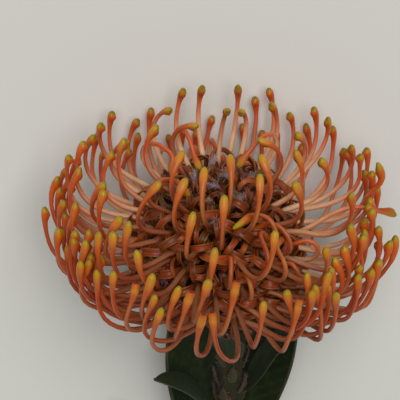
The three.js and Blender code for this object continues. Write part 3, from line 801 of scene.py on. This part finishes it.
# Pollen shed by the knobs clings to the tips of some tufts.
dusted = tufted & (wobble(lobe_id, 33) > 0.1)
grain_owner = np.flatnonzero(dusted[silk_owner] & (seeded.random(len(silk_owner)) < 0.3))
grain_centre = (silk_root[grain_owner] + unit(silk_way[grain_owner]) * silk_length[grain_owner, None]
                + 0.3 * (2 * seeded.random((len(grain_owner), 3)) - 1))
grain_radius = 0.13 + 0.05 * seeded.random(len(grain_owner))
grain_turn = np.arange(4) / 4 * 2 * np.pi
grain_rings = grain_centre[:, None, None] + grain_radius[:, None, None, None] * np.stack(
    [np.cos(grain_turn), np.sin(grain_turn), 0 * grain_turn], axis=-1)

for number, members in enumerate(clusters, start=1):
    m = np.array(members)
    lobes = np.flatnonzero(np.isin(lobe_floret, m))
    silks = np.flatnonzero(np.isin(lobe_floret[silk_owner], m))
    grains = np.flatnonzero(np.isin(lobe_floret[silk_owner[grain_owner]], m))
    tubes = skins(
        tube_rings[m], tube_centres[m, 0], tube_centres[m, -1],
        {"along": (0.3 * tube_share)[None, :, None], "edge": 0.0, "inner_face": 0.0,
         "tone": (0.5 + 0.5 * wobble(m, 25))[:, None, None]},
        plots_in_rows(len(m), 3, (0, 0), (1, 0.2)))
    ribbons = skins(
        lobe_rings[lobes], lobe_path[lobes, 0], lobe_path[lobes, -1] + lobe_tangent[lobes, -1] * 0.3,
        {"along": (0.3 + 0.7 * lobe_share)[None, :, None], "edge": np.abs(LOBE_ACROSS)[None, None, :],
         "inner_face": LOBE_INNER[None, None, :], "tone": (0.5 + 0.5 * wobble(lobes, 26))[:, None, None]},
        plots_in_rows(len(lobes), 9, (0, 0.2), (1, 0.8)))
    silk = silk_block(silk_root[silks], silk_way[silks], silk_length[silks], 0.12, SILK_THICKNESS,
                      plots_in_rows(len(silks), 24, (0, 0.8), (1, 0.97)), silk_tone[silks])
    blocks, materials = [tubes, ribbons, silk], [perianth_material, perianth_material, silk_material]
    if len(grains):
        pole = grain_radius[grains, None] * np.array([0, 0, 1.0])
        blocks.append(skins(
            grain_rings[grains], grain_centre[grains] - pole, grain_centre[grains] + pole,
            {"tone": (0.5 + 0.5 * wobble(grains, 34))[:, None, None]},
            plots_in_rows(len(grains), 24, (0, 0.97), (1, 1))))
        materials.append(pollen_material)
    piece("perianths_%02d" % number, blocks, materials, ["florets_%02d" % number])

# ---- The receptacle ---------------------------------------------------------------------------
# The egg-shaped woody core of the head, brown and felted, on a short neck. Every floret stands on
# it, so little of it shows but its neck and the felt between the feet of the florets.

CORE_SIDES = 48
EGG_RADIUS = 6.6
core_angle = np.linspace(0.42, np.pi, 26)
core_heights = np.concatenate([[-4.6, -3.4, -1.6, 0.6], CORE_MIDDLE - CORE_HALF_HEIGHT * np.cos(core_angle)])
core_radii = np.concatenate([[3.3, 3.05, 2.95, 2.95], EGG_RADIUS * np.sin(core_angle)])
core_radii[-1] = 0.5
core_turn = np.arange(CORE_SIDES) / CORE_SIDES * 2 * np.pi
height_grid, turn_grid = np.meshgrid(core_heights, core_turn, indexing="ij")
knobs = np.sin(8 * turn_grid + 2.1 * height_grid) * np.sin(13 * turn_grid - 1.7 * height_grid)
knobbly = core_radii[:, None] * (1 + 0.03 * knobs)
core_grid = [knobbly * np.cos(turn_grid), knobbly * np.sin(turn_grid), height_grid]
core_rings = lay_down(np.stack(core_grid, axis=-1))
core_poles = lay_down(np.array([[0, 0, core_heights[0]], [0, 0, core_heights[-1]]]))

felt_material, tree, skin = new_material("brown_felt", **{
    "Roughness": 0.92, "Sheen Weight": 0.2, "Sheen Roughness": 0.5, "Sheen Tint": paint(200, 180, 150)})
tissue = place_tissue(tree, 700.0)
felt_colour = colour_ramp(tree, tissue.outputs["Patches"], [
    (0.0, paint(52, 30, 16)), (1.0, paint(112, 74, 42))])
finish_skin(tree, skin, tissue, felt_colour, None, "Cells", 0.6, 0.0003)
core_block = skins(core_rings[None], core_poles[:1], core_poles[1:])
piece("receptacle_core", [core_block], [felt_material], ["receptacle"])

# ---- The bracts -------------------------------------------------------------------------------
# Two whorls of short pointed scales press up under the head like tiles. Each scale is a thin
# cupped blade, olive at its foot and red-brown at its rim, with a fringe of pale down. A few more
# stand singly down the upper stem.

SCALE_STATIONS = 9
SCALE_THICKNESS = 0.5
# A scale's section: places across it in half widths, and heights in thicknesses.
SCALE_ACROSS = np.array([1.0, 0.55, 0.0, -0.55, -1.0, -0.55, 0.0, 0.55])
SCALE_UP = np.array([0.0, 0.5, 0.62, 0.5, 0.0, -0.5, -0.4, -0.5])
STEM_TOP = -5.0
STEM_LENGTH = 140.0
STEM_BOW = 6.0
# Rows of scales: how many, the turn of the first, the height and radius of their feet and of their
# tips, and their width.
UPPER_ROWS = [
    (13, 0.0, -2.4, 4.0, 4.2, 8.3, 3.4),
    (11, 0.25, -3.0, 4.3, 2.4, 7.6, 3.4),
    (10, 0.1, -3.6, 4.5, 0.8, 6.6, 3.4)]
LOWER_ROWS = [
    (10, 0.3, -5.4, 4.2, -1.4, 7.4, 3.4),
    (9, 0.0, -7.4, 4.1, -3.0, 6.6, 3.3),
    (8, 0.4, -9.6, 3.9, -5.4, 5.8, 3.2)]
STEM_ROWS = [(1, n * GOLDEN_ANGLE + 3.6, -11.5 - 1.7 * n, 3.3, -3.5 - 1.7 * n, 5.2, 3.6) for n in range(22)]
HAIRS_PER_SCALE = 30


def stem_axis(height):
    """The stem's centre at a height: sideways by the bow times the square of the share run."""
    height = np.asarray(height, dtype=float)
    run = np.maximum(STEM_TOP - height, 0) / STEM_LENGTH
    return np.stack([STEM_BOW * run * run, np.zeros_like(height), height], axis=-1)


def scale_rings(rows):
    """Cross-sections of the scales in some rows. A scale's outline is a sine that ends in a point,
    and its middle stands off its rim."""
    share = np.linspace(0, 1, SCALE_STATIONS)
    rings = []
    for count, first_turn, foot, foot_radius, tip, tip_radius, width in rows:
        n = np.arange(count)
        turn = first_turn + n / count * 2 * np.pi + 0.06 * wobble(n + 7 * count, 31)
        reach = 1 + 0.12 * wobble(n + 7 * count, 32)
        height = foot + (tip - foot) * reach[:, None] * share
        radius = foot_radius + (tip_radius - foot_radius) * reach[:, None] * share ** 0.9
        radius += 0.45 * np.sin(np.pi * share)
        half = 0.5 * width * np.sin(np.pi * np.clip(0.3 + 0.7 * share, 0, 0.985)) ** 0.75
        across = half[None, :, None] * SCALE_ACROSS
        angle = turn[:, None, None] + across / np.maximum(radius[..., None], 1.0)
        out = radius[..., None] + SCALE_UP * SCALE_THICKNESS - 0.10 * np.abs(across)
        centre = stem_axis(np.broadcast_to(height[..., None], out.shape))
        grid = centre + np.stack([out * np.cos(angle), out * np.sin(angle), np.zeros_like(out)], axis=-1)
        rings.append(grid[:, :, ::-1])
    return lay_down(np.concatenate(rings))


def outer_down(rings, per_run, lengths, seed):
    """Roots, directions, lengths and tones of hairs on blades: at random stations and places round the
    section, leaning half along the blade and half off its face."""
    random = np.random.default_rng(seed)
    runs, stations = rings.shape[:2]
    who = np.repeat(np.arange(runs), per_run)
    spot = random.random(len(who)) * (stations - 1.001)
    at = spot.astype(int)
    side = random.integers(0, rings.shape[2], len(who))
    root = mix(rings[who, at, side], rings[who, at + 1, side], (spot - at)[:, None])
    along = unit(rings[who, at + 1, side] - rings[who, at, side])
    off = unit(root - rings[who, at].mean(axis=1))
    way = along + 0.9 * off + 0.5 * (2 * random.random((len(who), 3)) - 1)
    return root, way, lengths * (0.6 + 0.8 * random.random(len(who))), random.random(len(who))


bract_material, tree, skin = new_material("downy_bract", **{
    "Sheen Weight": 0.15, "Sheen Roughness": 0.5, "Sheen Tint": paint(206, 200, 170)})
tissue = place_tissue(tree, 800.0, 160.0)
bract_colour = colour_ramp(tree, trait(tree, "along"), [
    (0.0, paint(44, 48, 18)), (0.55, paint(60, 52, 22)), (0.85, paint(70, 38, 18)), (1.0, paint(40, 20, 12))])
bract_colour = tinted(tree, tissue, bract_colour,
                      (paint(88, 48, 26), ("edge", 0.6, 1.0, 0.0, 0.7)),
                      (paint(26, 26, 12), ("Patches", 0.0, 1.0, 0.0, 0.5)),
                      (paint(112, 100, 60), ("Streaks", 0.0, 1.0, 0.0, 0.3)))
finish_skin(tree, skin, tissue, bract_colour, (0.6, 0.85), "Streaks", 0.6, 0.0002)

for name, node_name, slot_name, rows in (
        ("bract_scales_upper", "bracts_upper", "bract", UPPER_ROWS),
        ("bract_scales_lower", "bracts_lower", "bract", LOWER_ROWS),
        ("stem_scales", "stem", "stem", STEM_ROWS)):
    scales = scale_rings(rows)
    end = scales[:, -1].mean(1)
    points = end + 0.3 * unit(end - scales[:, -2].mean(1))
    blades = skins(scales, scales[:, 0].mean(1), points,
                   {"along": np.linspace(0, 1, SCALE_STATIONS)[None, :, None],
                    "edge": np.abs(SCALE_ACROSS[::-1])[None, None, :]},
                   plots_in_rows(len(scales), 8, (0, 0), (1, 0.8)))
    root, way, long, tone = outer_down(scales, HAIRS_PER_SCALE, 1.1, 5)
    down = silk_block(root, way, long, 0.05, 0.035,
                      plots_in_rows(len(root), 40, (0, 0.8), (1, 1)), 0.8 * tone)
    piece(name, [blades, down], [bract_material, silk_material], [node_name])

# ---- The stem ---------------------------------------------------------------------------------
# A stiff green-brown woody stem, faintly ridged and downy, with a swelling under each leaf foot
# and a clean slanting cut that shows pale wood round a soft pith.

STEM_RADIUS = 3.5
STEM_SIDES = 40
STEM_STATIONS = 120
STEM_HAIRS = 1500
LEAF_ROWS = [  # height of the foot, direction around the stem, length, width, spread at foot and tip
    (-22, 262, 22, 9, 18, 52), (-36, 8, 30, 12, 24, 50), (-46, 198, 28, 13, 26, 80),
    (-56, 42, 60, 25, 15, 31), (-70, 127, 64, 27, 20, 27), (-86, 300, 50, 22, 22, 62),
    (-96, 172, 56, 23, 24, 58), (-106, 20, 58, 24, 22, 56), (-114, 238, 50, 21, 24, 66)]

stem_heights = np.linspace(STEM_TOP, STEM_TOP - STEM_LENGTH, STEM_STATIONS)
stem_turn = np.arange(STEM_SIDES) / STEM_SIDES * 2 * np.pi
height_grid, turn_grid = np.meshgrid(stem_heights, stem_turn, indexing="ij")
stem_swell = (1 + 0.02 * np.cos(5 * turn_grid + 0.05 * height_grid)
              + 0.012 * np.cos(11 * turn_grid - 0.09 * height_grid))
for foot, direction, *_ in LEAF_ROWS:
    apart = (turn_grid - math.radians(direction) + np.pi) % (2 * np.pi) - np.pi
    stem_swell += 0.14 * np.exp(-((height_grid - foot + 0.6) / 1.8) ** 2 - (apart / 0.55) ** 2)
stem_radius = STEM_RADIUS * mix(1, 0.93, (STEM_TOP - height_grid) / STEM_LENGTH) * stem_swell
stem_out = [stem_radius * np.cos(turn_grid), stem_radius * np.sin(turn_grid), np.zeros_like(turn_grid)]
stem_rings = stem_axis(height_grid) + np.stack(stem_out, axis=-1)
cut_shares = np.array([0.93, 0.8, 0.62, 0.42, 0.28, 0.14])
cut_depths = np.array([0.12, 0.14, 0.12, 0.1, -0.05, -0.12])
cut_middle = stem_axis(np.full(1, stem_heights[-1]))[:, None]
cut_rings = mix(cut_middle, stem_rings[-1][None], cut_shares[:, None, None])
cut_rings[..., 2] -= cut_depths[:, None]
stem_laid = lay_down(np.concatenate([stem_rings, cut_rings])[::-1])
stem_laid[..., 2] = np.maximum(stem_laid[..., 2], 0.02)
cut_place = np.concatenate([np.zeros(STEM_STATIONS), 1 - cut_shares])[::-1]

stem_material, tree, skin = new_material("green_wood", **{
    "Sheen Weight": 0.08, "Sheen Roughness": 0.5, "Sheen Tint": paint(214, 206, 180)})
tissue = place_tissue(tree, 260.0, 46.0, 6.0)
stem_colour = colour_ramp(tree, tissue.outputs["Patches"], [
    (0.0, paint(18, 24, 6)), (0.5, paint(32, 35, 10)), (1.0, paint(50, 32, 12))])
stem_colour = tinted(tree, tissue, stem_colour,
                     (paint(76, 72, 32), ("Streaks", 0.0, 1.0, 0.0, 0.35)),
                     (paint(34, 20, 12), ("Cells", 0.72, 0.9, 0.0, 0.5)))
cut_colour = colour_ramp(tree, trait(tree, "cut"), [
    (0.0, paint(92, 84, 44)), (0.1, paint(150, 156, 84)), (0.24, paint(212, 204, 150)),
    (0.52, paint(204, 190, 140)), (0.7, paint(190, 166, 112)), (1.0, paint(228, 220, 190))])
stem_colour = blend_colours(tree, rescale(tree, trait(tree, "cut"), 0.01, 0.06), stem_colour, cut_colour)
finish_skin(tree, skin, tissue, stem_colour, (0.55, 0.8), "Streaks", 0.55, 0.0003)

random = np.random.default_rng(21)
hair_height = stem_heights[-1] + (STEM_LENGTH - 1) * random.random(STEM_HAIRS)
hair_turn = 2 * np.pi * random.random(STEM_HAIRS)
hair_out = np.stack([np.cos(hair_turn), np.sin(hair_turn), np.zeros(STEM_HAIRS)], axis=-1)
hair_root = lay_down(stem_axis(hair_height) + hair_out * STEM_RADIUS * 0.97)
hair_way = turn_down(hair_out + np.array([0, 0, 0.7]) + 0.4 * (2 * random.random((STEM_HAIRS, 3)) - 1))
kept = hair_root[:, 2] > 1.6
hair_length = 0.5 + 0.5 * random.random(kept.sum())
stem_down = silk_block(hair_root[kept], hair_way[kept], hair_length, 0.05, 0.03,
                       plots_in_rows(kept.sum(), 60, (0, 0.92), (1, 1)), 0.4 * random.random(kept.sum()))
stem_block = skins(stem_laid[None], stem_laid[:1].mean(1), stem_laid[-1:].mean(1),
                   {"cut": cut_place[None, :, None]}, np.array([[0.0, 0.0, 1.0, 0.92]]))
piece("woody_stem", [stem_block, stem_down], [stem_material, silk_material], ["stem"])

# ---- The leaves -------------------------------------------------------------------------------
# Leathery dark blades without stalks, widest past the middle and gently cupped, each with a pale
# midrib that stands proud underneath, forked side veins, a thin reddish rim and a few red glands
# at its blunt tip.

LEAF_STATIONS = 56
LEAF_ACROSS = 17
LEAF_THICKNESS = 0.62
LEAF_VEINS = 15
LEAF_CLEARANCE = 0.45


def leaf_rings(foot, direction, length, width, spread_foot, spread_tip, seed):
    """Cross-sections of a blade. Its centre line leaves the stem at the foot's spread and bends to
    the tip's by the square of the share run; a section's height over it is the cup times the square
    of the place across, plus the sink of the midrib and the veins and a slow wave along the rim."""
    share = np.linspace(0, 1, LEAF_STATIONS)
    turn = math.radians(direction)
    out = np.array([math.cos(turn), math.sin(turn), 0.0])
    side = np.array([-out[1], out[0], 0.0])
    up = np.array([0, 0, 1.0])
    angle = np.radians(mix(spread_foot, spread_tip, share ** 2))
    along = up * np.cos(angle)[:, None] + out * np.sin(angle)[:, None]
    inner_face = up * np.sin(angle)[:, None] - out * np.cos(angle)[:, None]
    travel = np.cumsum(along[1:] * length / (LEAF_STATIONS - 1), axis=0)
    centre = stem_axis(foot) + out * (STEM_RADIUS + 1.2) + np.concatenate([np.zeros((1, 3)), travel])
    centre -= out * 1.3 * np.clip(1 - share / 0.12, 0, 1)[:, None] ** 2
    outline = np.sin(np.pi * np.clip(0.1 + 0.9 * share, 0, 0.995)) ** 0.8
    tip_blunt = 1 + 0.05 * np.cos(np.clip((share - 0.9) / 0.1, 0, 1) * 5 * np.pi) * (share > 0.9)
    foot_round = np.sqrt(np.clip((share + 0.012) / 0.09, 0, 1))
    half = 0.5 * np.maximum(width * outline * tip_blunt * foot_round, 1.2)

    across = np.linspace(1, -1, LEAF_ACROSS)
    both = np.concatenate([across, across[-2:0:-1]])
    from_middle = np.abs(both)
    face = np.concatenate([np.ones(LEAF_ACROSS), -np.ones(LEAF_ACROSS - 2)])
    rim = from_middle > 0.999
    vein_run = share[:, None] * LEAF_VEINS - from_middle * 3.2 + 0.35 * np.sign(both)
    between_ribs = ease(from_middle / 0.1) * ease((1 - from_middle) / 0.15)
    veins = np.exp(-((vein_run % 1 - 0.5) / 0.16) ** 2) * between_ribs
    midrib = np.exp(-(both / 0.055) ** 2) * (1.15 - share[:, None])
    cup = 0.16 * half[:, None] * both ** 2
    wave = 0.035 * half[:, None] * np.sin(share[:, None] * 11 + seed + 2 * both) * both ** 2
    thick = 0.5 * LEAF_THICKNESS * np.where(rim, 0.35, 1) * ease((1.02 - share[:, None]) / 0.05)
    lift = cup + wave + face * thick - np.where(face > 0, 0.16, -0.10) * veins * np.where(rim, 0, 1)
    lift += np.where(face > 0, -0.18, -0.42) * midrib
    points = (centre[:, None] + side * (both[None, :, None] * half[:, None, None])
              + inner_face[:, None] * lift[..., None])
    traits = {"along": share[:, None], "edge": from_middle, "vein": np.maximum(veins * 0.7, midrib),
              "upper_face": 0.5 + 0.5 * face}
    return press_on_floor(lay_down(points), LEAF_CLEARANCE), traits


leaf_material, tree, skin = new_material("leathery_leaf", **{
    "Sheen Weight": 0.08, "Sheen Tint": paint(190, 205, 190), "Coat Weight": 0.05, "Coat Roughness": 0.35})
tissue = place_tissue(tree, 130.0, 60.0, 3.0)
leaf_colour = colour_ramp(tree, tissue.outputs["Patches"], [
    (0.0, paint(16, 29, 4)), (0.5, paint(23, 38, 7)), (1.0, paint(36, 50, 10))])

# In turn: the paler lower face, the veins, the rim, the tip and the foot.
leaf_colour = tinted(tree, tissue, leaf_colour,
                     (paint(46, 66, 28), ("upper_face", 0.6, 0.4, 0.0, 0.22)),
                     (paint(72, 90, 38), ("vein", 0.0, 1.15, 0.0, 0.4025)),
                     (paint(96, 66, 40), ("edge", 0.93, 1.0, 0.0, 0.6)),
                     (paint(92, 36, 24), ("along", 0.95, 0.985, 0.0, 0.85)),
                     (paint(110, 70, 44), ("along", 0.08, 0.0, 0.0, 0.5)))
finish_skin(tree, skin, tissue, leaf_colour, (0.42, 0.6), "Cells", 0.3, 0.00015)

for number, row in enumerate(LEAF_ROWS, start=1):
    rings, traits = leaf_rings(*row, seed=number * 1.7)
    blade = skins(rings[None], rings[:1].mean(1), rings[-1:].mean(1), traits)
    piece("leaf_blade_%d" % number, [blade], [leaf_material], ["leaf_%d" % number])

# ---- Floor, light and camera ------------------------------------------------------------------
# A pale warm grey floor, a broad soft lamp beyond the head and a camera that looks down on the
# flower at 37 degrees above the level of its own head.

pale_floor, tree, skin = new_material("pale_floor", **{
    "Base Color": paint(231, 231, 224), "Roughness": 0.9, "Specular IOR Level": 0.1})
mesh = bpy.data.meshes.new("floor")
mesh.from_pydata([(-3, -3, 0), (3, -3, 0), (3, 3, 0), (-3, 3, 0)], [], [(0, 1, 2, 3)])
mesh.materials.append(pale_floor)
floor = bpy.data.objects.new("floor", mesh)
bpy.context.scene.collection.objects.link(floor)

world = bpy.data.worlds.new("soft_room")
bpy.context.scene.world = world
world.use_nodes = True
world.node_tree.nodes["Background"].inputs["Color"].default_value = (1.0, 0.985, 0.96, 1.0)
world.node_tree.nodes["Background"].inputs["Strength"].default_value = 0.225

lamp_data = bpy.data.lights.new("window_light", "AREA")
lamp_data.energy = 227
lamp_data.size = 3.4
lamp = bpy.data.objects.new("window_light", lamp_data)
bpy.context.scene.collection.objects.link(lamp)
lamp_at, lamp_aim = Vector((0.6, 3.0, 5.1)), Vector((0, 0.04, 0.03))
lamp_turn = (lamp_aim - lamp_at).to_track_quat("-Z", "Y")
lamp.matrix_world = Matrix.Translation(lamp_at) @ lamp_turn.to_matrix().to_4x4()

# The camera is this far off in millimetres, so it sees this width at the flower, and is set in the
# flower's own upright frame before that is laid down.
CAMERA_DISTANCE = 620.0
FRAME_WIDTH = 109.6
CAMERA_ELEVATION = math.radians(37)
CAMERA_ROLL = math.radians(2)
AIM_AT = np.array([-10.4, 0, 33.0])
looking = turn_down(np.array([0, math.cos(CAMERA_ELEVATION), -math.sin(CAMERA_ELEVATION)]))
upwards = turn_down(np.array([0, math.sin(CAMERA_ELEVATION), math.cos(CAMERA_ELEVATION)]))
right = np.array([1.0, 0, 0])
rolled_right = math.cos(CAMERA_ROLL) * right + math.sin(CAMERA_ROLL) * upwards
rolled_up = -math.sin(CAMERA_ROLL) * right + math.cos(CAMERA_ROLL) * upwards
camera_at = (turn_down(AIM_AT) + HEAD_AT - looking * CAMERA_DISTANCE) * MILLIMETRE
camera_data = bpy.data.cameras.new("camera")
camera_data.lens = camera_data.sensor_width * CAMERA_DISTANCE / FRAME_WIDTH
camera = bpy.data.objects.new("camera", camera_data)
bpy.context.scene.collection.objects.link(camera)
camera_pose = np.eye(4)
camera_pose[:3] = np.stack([rolled_right, rolled_up, -looking, camera_at], axis=1)
camera.matrix_world = Matrix(camera_pose.tolist())
bpy.context.scene.camera = camera
bpy.context.scene.view_settings.view_transform = "Standard"
